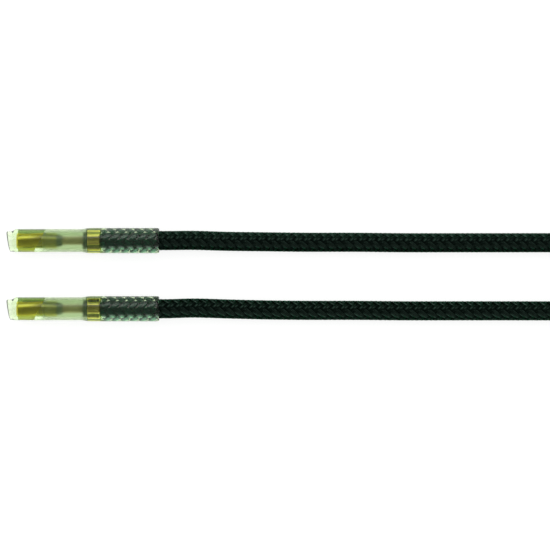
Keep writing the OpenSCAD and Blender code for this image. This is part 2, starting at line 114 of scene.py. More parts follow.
VIEW_WIDTH = 117.04 * MM
LENS = 220.0
SENSOR = 36.0
VIEW_FROM_MOUTH = 57.14 * MM
VIEW_Y = -0.07 * MM
camera_data = bpy.data.cameras.new("camera")
camera_data.lens = LENS
camera_data.sensor_width = SENSOR
camera = add_object("camera", camera_data)
camera.location = (MOUTH_X + VIEW_FROM_MOUTH, VIEW_Y, TIP_Z + VIEW_WIDTH * LENS / SENSOR)
bpy.context.scene.camera = camera
print(f"camera {camera.location.z / MM:.0f} mm above the table")

# %% [markdown]
# ## Formulas as nodes
#
# Both Geometry Nodes and materials are graphs of small sums. Written out link by link, such a
# graph is hard to read. The two small classes below let a formula be written as a formula:
# a `Field` is a node's output that can be added and multiplied, and each sum adds one node.

# %% Helpers for node graphs
class Field:
    """A node's output that takes part in sums."""

    def __init__(self, graph, socket):
        self.graph = graph
        self.socket = socket

    def __add__(self, other):
        return self.graph.combine("ADD", self, other)

    def __radd__(self, other):
        return self.graph.combine("ADD", other, self)

    def __sub__(self, other):
        return self.graph.combine("SUBTRACT", self, other)

    def __rsub__(self, other):
        return self.graph.combine("SUBTRACT", other, self)

    def __mul__(self, other):
        return self.graph.combine("MULTIPLY", self, other)

    def __rmul__(self, other):
        return self.graph.combine("MULTIPLY", other, self)

    def __truediv__(self, other):
        return self.graph.combine("DIVIDE", self, other)


class Graph:
    """Adds nodes to a tree and links what they are given."""

    def __init__(self, tree):
        self.tree = tree

    def feed(self, socket, value):
        """Links a field to a socket, or sets the socket to a plain value."""
        if isinstance(value, Field):
            self.tree.links.new(value.socket, socket)
        else:
            socket.default_value = value

    def add(self, kind, inputs=None, output=0, **settings):
        """Adds a node and returns one of its outputs."""
        node = self.tree.nodes.new(kind)
        for name, value in settings.items():
            setattr(node, name, value)
        for key, value in (inputs or {}).items():
            self.feed(node.inputs[key], value)
        return Field(self, node.outputs[output])

    def combine(self, operation, first, second):
        """One sum of two values, on vectors where either is a vector."""
        vectors = [isinstance(v, Field) and v.socket.type == "VECTOR" for v in (first, second)]
        if not any(vectors):
            return self.math(operation, first, second)
        if operation == "MULTIPLY" and not all(vectors):
            vector, number = (first, second) if vectors[0] else (second, first)
            return self.add("ShaderNodeVectorMath", {0: vector, "Scale": number}, operation="SCALE")
        return self.add("ShaderNodeVectorMath", {0: first, 1: second}, operation=operation)

    def math(self, operation, *values):
        """A Math node."""
        return self.add("ShaderNodeMath", dict(enumerate(values)), operation=operation)

    def clamp(self, value, low, high):
        """The value, kept between two limits."""
        return self.math("MAXIMUM", self.math("MINIMUM", value, high), low)

    def ease(self, value, low, high):
        """0 below low, 1 above high, and a smooth step between."""
        inputs = {"Value": value, "From Min": low, "From Max": high}
        return self.add("ShaderNodeMapRange", inputs, interpolation_type="SMOOTHSTEP")

    def parts(self, vector):
        """The x, y and z of a vector."""
        node = self.add("ShaderNodeSeparateXYZ", {0: vector}).socket.node
        return [Field(self, node.outputs[axis]) for axis in "XYZ"]

    def stored(self, label):
        """A number that a mesh holds under a label, for a material."""
        return self.add("ShaderNodeAttribute", output="Fac", attribute_name=label)


print("node helpers ready")

# %% [markdown]
# ## Materials
#
# Nothing on a real object has one flat colour. Each finish below starts from the shader that
# fits it and adds what the real one has: turning marks on brass, dull patches on plate, yarns
# in the braid. The patterns read Object coordinates, so they stay put when a part moves.

# %% A blank material
def start_material(name):
    """A new node material: its graph, its shader node and its Object coordinates."""
    material = bpy.data.materials.new(name)
    material.use_nodes = True
    graph = Graph(material.node_tree)
    shader = material.node_tree.nodes["Principled BSDF"]
    place = graph.add("ShaderNodeTexCoord", output="Object")
    return material, graph, shader, place


def noise(graph, place, scale, detail=3.0, roughness=0.5):
    """A noise value from 0 to 1."""
    inputs = {"Vector": place, "Scale": scale, "Detail": detail, "Roughness": roughness}
    return graph.add("ShaderNodeTexNoise", inputs)


def stretched(graph, place, scale):
    """Object coordinates scaled by a different amount along each axis."""
    return graph.add("ShaderNodeMapping", {"Vector": place, "Scale": scale})


def blend_colours(graph, share, dark, light):
    """A colour between two, by a share from 0 to 1."""
    node = graph.tree.nodes.new("ShaderNodeMix")
    node.data_type = "RGBA"
    graph.feed(node.inputs[0], share)
    graph.feed(node.inputs[6], dark if isinstance(dark, Field) else (*dark, 1.0))
    graph.feed(node.inputs[7], light if isinstance(light, Field) else (*light, 1.0))
    return Field(graph, node.outputs[2])


def finish(graph, shader, colour, roughness):
    """Gives the shader its colour and its roughness."""
    graph.feed(shader.inputs["Base Color"], colour)
    graph.feed(shader.inputs["Roughness"], roughness)


def bump(graph, shader, height, distance, strength=1.0):
    """Raises the surface by a height from 0 to 1 times the distance."""
    inputs = {"Height": height, "Distance": distance, "Strength": strength}
    graph.feed(shader.inputs["Normal"], graph.add("ShaderNodeBump", inputs))


print("material helpers ready")

# %% [markdown]
# Turned metal has fine rings where the tool has run round it. A noise that is squeezed along
# the axis and stretched across it makes such rings. A second, coarse noise dulls some places.
# The brass of the tips is painted darker along its flanks, up to the neck, as shade.

# %% Turned metal
RING_NOISE = 16000.0
PATCH_NOISE = 420.0
PATCH_ROUGHNESS = 0.12
FLANK_SHADE_FROM, FLANK_SHADE_TO = 0.62, 0.78
NEAR_FLANK_SHADE = 0.6


def facing_sideways(graph):
    """How far the surface faces +Y, from -1 to 1."""
    return graph.parts(graph.add("ShaderNodeTexCoord", output="Normal"))[1]


def painted_flank_shade(graph, patches):
    """Painted shade: 1 on the flank that faces +Y, a share of that on the other flank, and 0 on top."""
    sideways = facing_sideways(graph)
    uneven = 0.12 * (patches - 0.5)
    far = graph.ease(sideways + uneven, FLANK_SHADE_FROM, FLANK_SHADE_TO)
    return far + NEAR_FLANK_SHADE * graph.ease(uneven - sideways, FLANK_SHADE_FROM, FLANK_SHADE_TO)


def turned_metal(name, dark, light, roughness, shade_colour=None, unshaded_from=None, metallic=1.0):
    """Bare or plated metal from a lathe whose axis is X, with flanks painted darker as shade up to a place."""
    material, graph, shader, place = start_material(name)
    rings = noise(graph, stretched(graph, place, (1.0, 0.02, 0.02)), RING_NOISE, 2.0)
    patches = noise(graph, place, PATCH_NOISE, 4.0, 0.6)
    colour = blend_colours(graph, patches, dark, light)
    if shade_colour:
        # Painted shade: the flanks darken towards the given colour, except beyond a place along X.
        unshaded = graph.ease(graph.parts(place)[0], unshaded_from, unshaded_from + 0.4 * MM)
        colour = blend_colours(graph, painted_flank_shade(graph, patches) * (1.0 - unshaded), colour, shade_colour)
    finish(graph, shader, colour, roughness + PATCH_ROUGHNESS * (patches - 0.5))
    shader.inputs["Metallic"].default_value = metallic
    bump(graph, shader, rings, 0.002 * MM)
    return material


NECK_X = lowest("nipple_a").x + 6.1 * MM
# The tip brass's last colour is painted shade for its flanks, which ends at the neck.
TIP_BRASS = turned_metal(
    "tip brass", (0.76, 0.65, 0.04), (0.88, 0.76, 0.10), 0.29, (0.24, 0.33, 0.09), NECK_X
)
HANDLE_BRASS = turned_metal("handle brass", (0.55, 0.40, 0.15), (0.70, 0.54, 0.24), 0.30)
BRONZE = turned_metal("drawn bronze", (0.92, 0.66, 0.32), (0.98, 0.80, 0.46), 0.45, metallic=0.4)
BRIGHT_STEEL = turned_metal("bright steel", (0.46, 0.47, 0.48), (0.60, 0.61, 0.62), 0.22)
SPRING_STEEL = turned_metal("spring steel", (0.36, 0.36, 0.37), (0.48, 0.48, 0.50), 0.32)
SATIN_CHROME = turned_metal("satin chrome", (0.62, 0.63, 0.64), (0.74, 0.75, 0.76), 0.30)
BLACKENED_STEEL = turned_metal("blackened steel", (0.030, 0.040, 0.030), (0.075, 0.090, 0.070), 0.42)
OXIDISED = turned_metal("oxidised steel", (0.17, 0.23, 0.15), (0.34, 0.42, 0.28), 0.50, metallic=0.4)
print("metals made")

# %% [markdown]
# Enamel is a paint under a gloss coat. It wears through at the edges first, where fingers rub.
# A Bevel node finds those edges: there its rounded normal differs from the true one.

# %% Enamel
EDGE_RADIUS = 0.18 * MM
EDGE_GAIN = 3.0
WORN_COLOUR = (0.50, 0.38, 0.18)


def enamel(name, colour, roughness, wear=1.0):
    """Gloss paint on metal, rubbed bright along its edges."""
    material, graph, shader, place = start_material(name)
    rounded = graph.add("ShaderNodeBevel", {"Radius": EDGE_RADIUS}, samples=6)
    true_normal = graph.add("ShaderNodeNewGeometry", output="Normal")
    likeness = graph.add(
        "ShaderNodeVectorMath", {0: rounded, 1: true_normal}, output="Value", operation="DOT_PRODUCT"
    )
    patches = noise(graph, place, 1400.0, 5.0, 0.65)
    rubbed = graph.ease((1.0 - likeness) * EDGE_GAIN + (patches - 0.62), 0.02, 0.16) * wear
    colour = blend_colours(graph, rubbed, colour, WORN_COLOUR)
    finish(graph, shader, colour, roughness + 0.10 * noise(graph, place, 300.0))
    graph.feed(shader.inputs["Metallic"], rubbed)
    bump(graph, shader, noise(graph, place, 2600.0, 2.0), 0.004 * MM)
    return material


BLACK_ENAMEL = enamel("black enamel", (0.012, 0.012, 0.014), 0.22)
RED_ENAMEL = enamel("red enamel", (0.42, 0.015, 0.010), 0.20, wear=0.4)
print("enamels made")

# %% [markdown]
# Fibre, felt and moulded plastic have no gloss coat: they differ in grain and in roughness.

# %% Fibre, felt and moulded plastic
def matte(name, dark, light, roughness, grain, depth):
    """A dull material with a fine grain."""
    material, graph, shader, place = start_material(name)
    grains = noise(graph, place, grain, 4.0, 0.7)
    finish(graph, shader, blend_colours(graph, grains, dark, light), roughness + 0.15 * (grains - 0.5))
    bump(graph, shader, grains, depth)
    return material


DARK_FIBRE = matte("dark fibre", (0.055, 0.090, 0.045), (0.14, 0.20, 0.10), 0.60, 3000.0, 0.01 * MM)
FELT = matte("felt", (0.09, 0.07, 0.05), (0.20, 0.17, 0.12), 0.95, 2200.0, 0.05 * MM)
BLACK_PLASTIC = matte(
    "moulded black", (0.010, 0.010, 0.011), (0.020, 0.020, 0.022), 0.36, 1500.0, 0.004 * MM
)
print("dull materials made")

# %% [markdown]
# The sleeve is soft clear plastic, a little green and a little cloudy. The green comes from
# the depth of the wall, so it is a Volume Absorption and not a surface colour: a long way
# through the wall, as near the edges, is greener than a short one. The cloud is a small share
# of plain scattering in the surface. Inside, the bore is dull where nothing touches it, which
# blurs the thin parts behind it. Along its far side the bore is also painted darker and
# cloudier, as shade. Outside, handling has rubbed the crests of the weave hazy; on the near
# flank that haze, and a cloud in the bore over the braid, are made strong to paint the flank
# lighter, as light. The cut end is painted dark grey, as shade. Extruded tube also has faint
# lines along its length. Each of these shares is worked out from the place on the sleeve, as 0 to 1.

# %% Clear sleeve
BORE, CUT, CREST = "bore", "cut", "crest"
CLEAR_COLOUR = (0.92, 0.94, 0.90)
DULL_COLOUR = (0.78, 0.90, 0.64)
# Painted shade for the far side of the bore.
FAR_SHADE_COLOUR = (0.44, 0.58, 0.31)
# Painted shade: the dark rim of the cut end.
CUT_SHADE_COLOUR = (0.14, 0.15, 0.13)
OVER_BRAID_COLOUR = (0.40, 0.90, 0.70)
# Colour of the rubbed haze on the crests, which on the near flank is strong enough to paint light.
HAZE_AND_LIGHT_COLOUR = (0.40, 0.88, 0.54)
DEPTH_COLOUR = (0.60, 0.80, 0.36, 1.0)
DEPTH_DENSITY = 600.0
PLASTIC_IOR = 1.46
CORD_RADIUS = 2.0 * MM
DULL_FROM = highest("nipple_a").x - 2.0 * MM
DULL_TO = lowest("crimp_ferrule_a").x
DULL_INTO, DULL_OUT_OF = 2.4 * MM, 0.3 * MM


def clear_plastic(name):
    """Clear plastic with a dull bore round the thin parts, a hazy outside and a dull cut end. The bore's far side
    and the cut end are painted darker as shade, and the near flank over the braid is painted lighter as light.
    """
    material, graph, shader, place = start_material(name)
    x, y, z = graph.parts(place)
    inside, cut = graph.stored(BORE), graph.stored(CUT)
    starts = graph.ease(x, DULL_FROM - DULL_INTO, DULL_FROM)
    dull = inside * (starts - graph.ease(x, DULL_TO - DULL_OUT_OF, DULL_TO))
    over_braid = inside * graph.ease(x, CORD_X, CORD_X + DULL_OUT_OF)
    lines = noise(graph, stretched(graph, place, (0.03, 1.0, 1.0)), 900.0, 2.0)
    patches = noise(graph, place, 350.0)
    side = (y - graph.math("SIGN", y) * TIP_Y) * (1.0 / CORD_RADIUS)
    above = graph.ease((z - TIP_Z) * (1.0 / CORD_RADIUS), -0.2, 0.2)
    # Painted shade: the far (+Y) side of the bore is made darker and cloudier.
    far_wall_shade = above * graph.ease(side, 0.15, 0.65)
    # Painted light: over the braid, the near (-Y) side of the bore is clouded so that it renders lighter.
    near_wall_light = above * graph.ease(-1.0 * side, 0.45, 0.90)
    rubbed = (1.0 - inside) * graph.ease(x, CORD_X, CORD_X + 2.0 * MM)
    crest = graph.ease(graph.stored(CREST), -0.2, 0.8)
    # The haze on the crests is real wear; weighted mostly onto the near (-Y) flank, it also paints that flank
    # lighter, as light.
    sides = 0.03 * graph.ease(side, 0.0, 0.4) + 0.34 * graph.ease(-1.0 * side, 0.50, 0.95)
    hazy = rubbed * above * crest * sides
    dull_and_shade_colour = blend_colours(graph, 0.8 * far_wall_shade, DULL_COLOUR, FAR_SHADE_COLOUR)
    colour = blend_colours(graph, dull, CLEAR_COLOUR, dull_and_shade_colour)
    colour = blend_colours(graph, over_braid, colour, OVER_BRAID_COLOUR)
    colour = blend_colours(graph, graph.clamp(4.0 * hazy, 0.0, 1.0), colour, HAZE_AND_LIGHT_COLOUR)
    # Painted shade: the cut end is coloured dark grey and made less clear.
    colour = blend_colours(graph, cut, colour, CUT_SHADE_COLOUR)
    finish(graph, shader, colour, 0.02 + 0.03 * patches + 0.34 * dull + 0.10 * rubbed + 0.4 * cut)
    # Painted light: the near flank's cloud over the braid lifts that flank; the far side's extra cloud is painted
    # shade.
    clouded = (0.15 + 0.07 * patches + 0.10 * far_wall_shade) * dull + (0.010 + 0.20 * near_wall_light) * over_braid
    graph.feed(shader.inputs["Transmission Weight"], 0.998 - clouded - hazy - 0.75 * cut)
    shader.inputs["IOR"].default_value = PLASTIC_IOR
    bump(graph, shader, lines, 0.003 * MM, 0.3)
    depth = graph.add("ShaderNodeVolumeAbsorption", {"Color": DEPTH_COLOUR, "Density": DEPTH_DENSITY})
    graph.feed(graph.tree.nodes["Material Output"].inputs["Volume"], depth)
    return material


CLEAR_PLASTIC = clear_plastic("clear sleeve")
print("clear plastic made")

# %% [markdown]
# ## The braid
#
# The cable's cover is braided on sixteen carriers: eight run round it one way and eight the
# other, and each passes over two and under two. That gives the herringbone look. Each carrier
# lays a flat bundle of glazed yarns. Modelled by hand this would be endless, but it follows a
# rule, so Geometry Nodes makes it: one flat grid for each carrier, moved point by point.
#
# The yarns in a bundle are too fine to be geometry. The tree leaves the place across a bundle
# on the mesh as an attribute, and the material turns it into fine ridges.

# %% Braid material
YARNS_IN_SECTION = 10.0
FLECK_SCALES = (900.0, 7.3, 3.7)


def braid_yarn(name, dark, light, roughness, gloss, tint, metallic=0.0):
    """Glazed black yarn, in bundles that run along each carrier. One hand is painted lighter as sheen, and yarn
    that dips under a crossing is painted darker as shade.
    """
    material, graph, shader, _ = start_material(name)
    across, along, carrier, over = map(graph.stored, ("across", "along", "carrier", "over"))
    ridge = graph.math("ABSOLUTE", graph.math("SINE", across * (math.pi * YARNS_IN_SECTION)))
    lane = graph.math("FLOOR", across * YARNS_IN_SECTION)
    spots = (value * scale for value, scale in zip((along, lane, carrier), FLECK_SCALES))
    fleck = noise(graph, graph.add("ShaderNodeCombineXYZ", dict(zip("XYZ", spots))), 1.0)
    # Painted shade: yarn is darker where it dips under a crossing, lightest on top.
    crown = 0.15 + 0.85 * graph.ease(over, -0.3, 1.0)
    # Painted sheen: the carriers of one hand are lighter than those of the other.
    painted_sheen_hand = 1.0 - 0.6 * graph.math("MODULO", carrier, 2.0)
    share = graph.clamp(0.55 * ridge + 0.8 * (fleck - 0.4), 0.0, 1.0) * crown * painted_sheen_hand
    finish(graph, shader, blend_colours(graph, share, dark, light), roughness + 0.3 * (fleck - 0.5))
    shader.inputs["Metallic"].default_value = metallic
    shader.inputs["Specular IOR Level"].default_value = gloss
    shader.inputs["Specular Tint"].default_value = (*tint, 1.0)
    bump(graph, shader, ridge + 0.4 * fleck, 0.035 * MM, 0.5)
    return material


BRAID = braid_yarn(
    "braided yarn", (0.0025, 0.006, 0.0045), (0.062, 0.110, 0.084), 0.21, 0.2, (0.22, 0.42, 0.32), 0.96
)
# Painted light: the yarn under the sleeve gets a lighter, greener and glossier copy of the braid material.
LIT_BRAID_UNDER_SLEEVE = braid_yarn(
    "yarn painted lighter under sleeve", (0.0005, 0.004, 0.003), (0.030, 0.110, 0.080), 0.34, 0.7, (0.25, 1.0, 0.70)
)
LINER = matte("cord liner", (0.001, 0.002, 0.0015), (0.003, 0.005, 0.004), 0.8, 2000.0, 0.01 * MM)
print("braid materials made")

# %% [markdown]
# A graph for Geometry Nodes starts from its named inputs, so that someone can change the braid
# without opening the graph.

# %% Geometry Nodes helpers
def start_tree(name, sizes):
    """A node group that takes geometry and named numbers, and its graph and inputs."""
    tree = bpy.data.node_groups.new(name, "GeometryNodeTree")
    tree.interface.new_socket("Geometry", in_out="INPUT", socket_type="NodeSocketGeometry")
    for label, value in sizes.items():
        kind = "NodeSocketInt" if isinstance(value, int) else "NodeSocketFloat"
        socket = tree.interface.new_socket(label, in_out="INPUT", socket_type=kind)
        socket.default_value = value
    tree.interface.new_socket("Geometry", in_out="OUTPUT", socket_type="NodeSocketGeometry")
    graph = Graph(tree)
    entry = tree.nodes.new("NodeGroupInput")
    inputs = {socket.name: Field(graph, socket) for socket in entry.outputs if socket.name}
    return tree, graph, inputs


def finish_tree(graph, shape):
    """Links a geometry to the group's output."""
    exit_node = graph.tree.nodes.new("NodeGroupOutput")
    graph.feed(exit_node.inputs["Geometry"], shape)


def baked(thing):
    """The mesh of an object with its modifiers applied."""
    bpy.context.view_layer.update()
    evaluated = thing.evaluated_get(bpy.context.evaluated_depsgraph_get())
    return bpy.data.meshes.new_from_object(evaluated)


def grown_mesh(name, base, tree, sizes):
    """The mesh that a tree makes on a base object, as a plain new object."""
    modifier = base.modifiers.new(name, "NODES")
    modifier.node_group = tree
    entries = [item for item in tree.interface.items_tree if item.in_out == "INPUT"]
    labels = {item.name: item.identifier for item in entries}
    for label, value in sizes.items():
        modifier[labels[label]] = value
    mesh = baked(base)
    mesh.name = name
    base.modifiers.remove(modifier)
    return add_object(name, mesh)


print("Geometry Nodes helpers ready")

# %% [markdown]
# ### The tree
#
# `u` runs along a carrier and `v` round its section. A point's place on the cord is a length
# `s` along the path and an angle round it. The width of the bundle is laid along the surface
# of the cord, square to the carrier, so wide bundles bend round the cord as real ones do.

# %% The braid's tree
END_TAPER = 0.35 * MM
BUNDLE_FLATNESS = 0.65
BRAID_SIZES = {
    "Carriers": 16,
    "Lay": 15.6 * MM,
    "Cord radius": 2.11 * MM,
    "Gathered radius": 1.86 * MM,
    "Gather length": 0.9 * MM,
    "Bundle width": 1.18 * MM,
    "Bundle thickness": 0.36 * MM,
    "Weave height": 0.11 * MM,
    "Turn": math.radians(11.25),
    "Rings": 400,
    "Section points": 11,
    "Covered length": SLEEVE_END_X - CORD_X - 0.7 * MM,
}


def store(graph, shape, label, value, **settings):
    """Stores a number on a shape under a label."""
    inputs = {"Geometry": shape, "Name": label, "Value": value}
    return graph.add("GeometryNodeStoreNamedAttribute", inputs, **settings)


def make_carriers(graph, sizes):
    """One flat grid for each carrier, with its number, its u and its v stored on it."""
    counts = {"Vertices X": sizes["Rings"], "Vertices Y": sizes["Section points"]}
    grid = graph.add("GeometryNodeMeshGrid", {"Size X": 1.0, "Size Y": 1.0, **counts})
    x, y, _ = graph.parts(graph.add("GeometryNodeInputPosition"))
    for label, value in (("u", x + 0.5), ("across", y + 0.5)):
        grid = store(graph, grid, label, value)
    single = graph.add("GeometryNodeGeometryToInstance", {0: grid})
    amount = {"Geometry": single, "Amount": sizes["Carriers"]}
    copies = graph.add("GeometryNodeDuplicateElements", amount, domain="INSTANCE")
    number = Field(graph, copies.socket.node.outputs["Duplicate Index"])
    copies = store(graph, copies, "carrier", number, domain="INSTANCE")
    return graph.add("GeometryNodeRealizeInstances", {"Geometry": copies})


def named(graph, label):
    """Reads a stored number."""
    return graph.add("GeometryNodeInputNamedAttribute", {"Name": label}, data_type="FLOAT")


def path_frame(graph, path, length):
    """Place, sideways and upward directions at a length along the path."""
    sample = graph.add(
        "GeometryNodeSampleCurve", {"Curves": path, "Length": length}, output="Position", mode="LENGTH"
    )
    ahead = Field(graph, sample.socket.node.outputs["Tangent"])
    side = graph.add("ShaderNodeVectorMath", {0: ahead, 1: (0.0, 0.0, 1.0)}, operation="CROSS_PRODUCT")
    side = graph.add("ShaderNodeVectorMath", {0: side}, operation="NORMALIZE")
    up = graph.add("ShaderNodeVectorMath", {0: side, 1: ahead}, operation="CROSS_PRODUCT")
    return sample, side, up


def braid_tree():
    """The braid round a path."""
    tree, graph, sizes = start_tree("braid", BRAID_SIZES)
    path = sizes["Geometry"]
    carriers = make_carriers(graph, sizes)
    u, v, number = (named(graph, label) for label in ("u", "across", "carrier"))
    total = graph.add("GeometryNodeCurveLength", {"Curve": path})
    hand = 1.0 - 2.0 * graph.math("MODULO", number, 2.0)
    pair = graph.math("FLOOR", number / 2.0)
    pairs = sizes["Carriers"] / 2.0
    s = u * total
    turns = s / sizes["Lay"]
    round_cord = 2.0 * math.pi * (hand * turns + pair / pairs) + sizes["Turn"]
    crossing = (hand * turns * sizes["Carriers"] + 2.0 * pair - 0.5) / 4.0
    over = hand * graph.math("COSINE", 2.0 * math.pi * crossing)
    lift = sizes["Weave height"] * graph.clamp(1.15 * over, -1.0, 1.0)
    from_end = graph.math("MINIMUM", s, total - s)
    full = graph.clamp(from_end / END_TAPER, 0.02, 1.0)
    section = 2.0 * math.pi * v + math.pi
    reach = full * 0.5 * sizes["Bundle width"] * graph.math("SINE", section)
    bulge = graph.math("COSINE", section)
    size = graph.math("POWER", graph.math("ABSOLUTE", bulge), BUNDLE_FLATNESS)
    depth = full * 0.5 * sizes["Bundle thickness"] * (graph.math("SIGN", bulge) * size)
    mid_radius = sizes["Cord radius"] - 0.5 * sizes["Bundle thickness"] - sizes["Weave height"]
    slope = graph.math("ARCTANGENT", 2.0 * math.pi * mid_radius / sizes["Lay"])
    place_along = graph.clamp(s - hand * reach * graph.math("SINE", slope), 0.0, total)
    angle = round_cord + reach * graph.math("COSINE", slope) / mid_radius
    gathered = graph.ease(place_along, 0.0, sizes["Gather length"])
    shrink = (1.0 - gathered) * (sizes["Cord radius"] - sizes["Gathered radius"])
    radius = mid_radius - shrink + lift + depth
    centre, side, up = path_frame(graph, path, place_along)
    outward = up * graph.math("COSINE", angle) + side * graph.math("SINE", angle)
    shape = graph.add(
        "GeometryNodeSetPosition", {"Geometry": carriers, "Position": centre + outward * radius}
    )
    for label, value in (("along", s), ("over", over)):
        shape = store(graph, shape, label, value)
    shape = graph.add("GeometryNodeMergeByDistance", {"Geometry": shape, "Distance": 0.001 * MM})
    shape = graph.add("GeometryNodeSetShadeSmooth", {"Geometry": shape})
    shape = graph.add("GeometryNodeSetMaterial", {"Geometry": shape, "Material": BRAID})
    # Painted light: yarn under the sleeve takes the lighter copy of the material.
    covered = graph.math("LESS_THAN", named(graph, "along"), sizes["Covered length"])
    pressed = {"Geometry": shape, "Selection": covered, "Material": LIT_BRAID_UNDER_SLEEVE}
    finish_tree(graph, graph.add("GeometryNodeSetMaterial", pressed))
    return tree


BRAID_TREE = braid_tree()
print("braid tree has", len(BRAID_TREE.nodes), "nodes")

# %% [markdown]
# ### The cords' paths
#
# Each cord runs straight out of its crimp ferrule, comes down to the table, lies along it in
# a slight curve and climbs to its outlet in the handle. Its points are the CAD cord's own:
# distance from the crimp, sideways place, and height of its underside, in millimetres.

# %% Cord paths
ROUTES = {
    "a": [
        (20, 7.3, 0.5), (27, 7.1, 0.2), (35, 7, 0.1), (44, 6.9, 0), (54, 6.9, 0),
        (65, 6.8, 0), (76, 6.8, 0), (87, 6.8, 0), (98, 6.8, 0), (109, 6.7, 0),
        (120, 6.4, 0), (131, 6, 0.1), (141, 5.5, 0.5), (151, 5, 1.3),
        (161, 4.6, 2.5), (171, 4.3, 3.8), (181, 4.1, 5), (190, 4, 5.8),
    ],
    "b": [
        (20, -7.1, 0.5), (27, -7.3, 0.2), (35, -7.5, 0.1), (44, -7.6, 0), (54, -7.6, 0),
        (65, -7.7, 0), (76, -7.7, 0), (87, -7.7, 0), (98, -7.7, 0), (109, -7.6, 0),
        (120, -7.2, 0), (131, -6.7, 0.1), (141, -6.1, 0.5), (151, -5.5, 1.3),
        (161, -4.9, 2.5), (171, -4.5, 3.8), (181, -4.2, 5), (190, -4, 5.8),
    ],
}
STRAIGHT_PAST_SLEEVE = 1.8 * MM
OUTLET_STRAIGHT = 4 * MM


def cord_points(name):
    """The points of a cord's path, in metres."""
    side = SIDES[name]
    tip = Vector((CORD_X, side * TIP_Y, TIP_Z))
    outlet = Vector((OUTLET_X, side * OUTLET_Y, HANDLE_Z))
    straight = SLEEVE_END_X + STRAIGHT_PAST_SLEEVE - CORD_X
    start = [tip + Vector((straight * share, 0, 0)) for share in (0, 0.5, 1)]
    laid = [Vector((CORD_X + x * MM, y * MM, CORD_RADIUS + z * MM)) for x, y, z in ROUTES[name]]
    end = [outlet + Vector((x, 0, 0)) for x in (-OUTLET_STRAIGHT, 0, CUP_DEPTH)]
    return start + laid + end


def smooth_line(points, step=2.0 * MM):
    """Points a step apart on a Catmull-Rom curve through the given ones."""
    line = []
    padded = [2 * points[0] - points[1]] + points + [2 * points[-1] - points[-2]]
    for before, start, end, after in zip(padded, padded[1:], padded[2:], padded[3:]):
        count = max(1, round((end - start).length / step))
        for i in range(count):
            t = i / count
            bend = (2 * start, end - before, 2 * before - 5 * start + 4 * end - after)
            cubic = -before + 3 * start - 3 * end + after
            line.append(0.5 * (bend[0] + bend[1] * t + bend[2] * t * t + cubic * t * t * t))
    return line + [points[-1]]


def path_curve(name, line):
    """An open poly curve through a line of points."""
    data = bpy.data.curves.new(name, "CURVE")
    data.dimensions = "3D"
    spline = data.splines.new("POLY")
    spline.points.add(len(line) - 1)
    for point, place in zip(spline.points, line):
        point.co = (*place, 1.0)
    return add_object(name, data)


CORD_LINES = {name: smooth_line(cord_points(name)) for name in SIDES}
CORD_LENGTHS = {
    name: sum((b - a).length for a, b in zip(line, line[1:])) for name, line in CORD_LINES.items()
}
print("cord lengths", {name: round(length / MM, 1) for name, length in CORD_LENGTHS.items()}, "mm")

# %% [markdown]
# Under the braid lies a dark liner, so that no light shows between the bundles. It is a plain
# round tube on the same path.

# %% Cords
LINER_RADIUS = 1.55 * MM
LINER_GATHERED = 1.35 * MM
LINER_SIDES = 24


def outward_faces(mesh, sharp_angle=35.0):
    """Turns the faces outward and shades them smooth up to an angle in degrees."""
    shape = bmesh.new()
    shape.from_mesh(mesh)
    bmesh.ops.recalc_face_normals(shape, faces=shape.faces)
    for face in shape.faces:
        face.smooth = True
    for edge in shape.edges:
        edge.smooth = len(edge.link_faces) == 2 and edge.calc_face_angle() < math.radians(sharp_angle)
    shape.to_mesh(mesh)
    shape.free()


def ring_surface(name, rings, material, closed=False):
    """A mesh through rings of points: a ring of rings if closed, else a tube with two caps."""
    sides, count = len(rings[0]), len(rings)
    faces = [
        (i * sides + k, (i + 1) % count * sides + k,
         (i + 1) % count * sides + (k + 1) % sides, i * sides + (k + 1) % sides)
        for i in range(count if closed else count - 1)
        for k in range(sides)
    ]
    if not closed:
        last = (count - 1) * sides
        faces += [tuple(range(sides)), tuple(last + k for k in reversed(range(sides)))]
    mesh = bpy.data.meshes.new(name)
    mesh.from_pydata([tuple(point) for ring in rings for point in ring], [], faces)
    mesh.materials.append(material)
    return mesh


def ring_round(centre, ahead, radius, sides):
    """Points round a centre, square to a direction."""
    across = ahead.cross(Vector((0, 0, 1))).normalized()
    up = across.cross(ahead).normalized()
    angles = [2 * math.pi * k / sides for k in range(sides)]
    return [centre + radius * (math.cos(a) * up + math.sin(a) * across) for a in angles]


def liner_rings(line):
    """The liner's rings, gathered at the crimp as the braid is."""
    rings = []
    for i, point in enumerate(line):
        ahead = (line[min(i + 1, len(line) - 1)] - line[max(i - 1, 0)]).normalized()
        radius = LINER_GATHERED if i == 0 else LINER_RADIUS
        rings.append(ring_round(point, ahead, radius, LINER_SIDES))
    return rings


for name, line in CORD_LINES.items():
    path = path_curve(f"path_{name}", line)
    braid = grown_mesh(f"braid_{name}", path, BRAID_TREE, BRAID_SIZES)
    bpy.data.objects.remove(path)
    label = f"cord_liner_{name}"
    liner = add_object(label, ring_surface(label, liner_rings(line), LINER))
    outward_faces(liner.data, 180.0)
    for piece in (braid, liner):
        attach(piece, "root")
    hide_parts(f"cord_{name}")
    print(f"braid {name}:", len(braid.data.polygons), "faces")

# %% [markdown]
# ## The clear sleeve
#
# The sleeve was pushed over nipple, ferrule and braid, and it clings to what it touches. Where
# soft plastic touches a part, no air lies between them, and the part looks as wide as the
# sleeve. So the wall's inner face is drawn a hair inside the surface of the nipple and of the
# braid, and it stands clear of the thin parts between them. Over the braid both faces carry
# the weave's relief, because soft plastic bulges over each crest.

